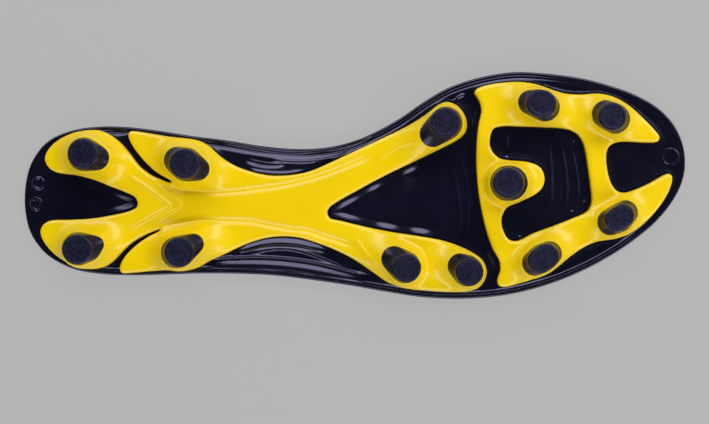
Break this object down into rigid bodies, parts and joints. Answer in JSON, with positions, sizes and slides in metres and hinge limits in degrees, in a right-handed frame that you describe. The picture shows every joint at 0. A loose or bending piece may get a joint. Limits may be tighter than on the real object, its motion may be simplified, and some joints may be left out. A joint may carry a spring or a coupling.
{
  "type": "football boot outsole",
  "caption": "Left moulded football-boot outsole: dark base plate, two bright stud-carrying frames and blunt round stud tips, laid studs up.",
  "frame": {"origin": "middle of the outline's length and width, on the surface that the foot-side rim lies on", "axes": "+X from heel to toe, +Y to the medial side of the foot, +Z out of the tread"},
  "size_m": [0.2832, 0.097, 0.0191],
  "materials": {
    "base_black": "glossy moulded TPU",
    "frame_yellow": "glossy moulded TPU",
    "stud_black": "satin, fine spark-eroded grain on the wearing faces"
  },
  "bodies": {
    "root": {"base_plate": "base_black", "heel_frame": "frame_yellow", "forefoot_frame": "frame_yellow", "stud_tip_heel_rear_medial": "stud_black", "stud_tip_heel_rear_lateral": "stud_black", "stud_tip_heel_front_medial": "stud_black", "stud_tip_heel_front_lateral": "stud_black", "stud_tip_forefoot_rear_medial": "stud_black", "stud_tip_forefoot_rear_lateral": "stud_black", "stud_tip_forefoot_middle_lateral": "stud_black", "stud_tip_forefoot_front_medial": "stud_black", "stud_tip_forefoot_centre": "stud_black", "stud_tip_forefoot_front_lateral": "stud_black", "stud_tip_toe_medial": "stud_black", "stud_tip_toe_lateral": "stud_black"}
  },
  "joints": []
}
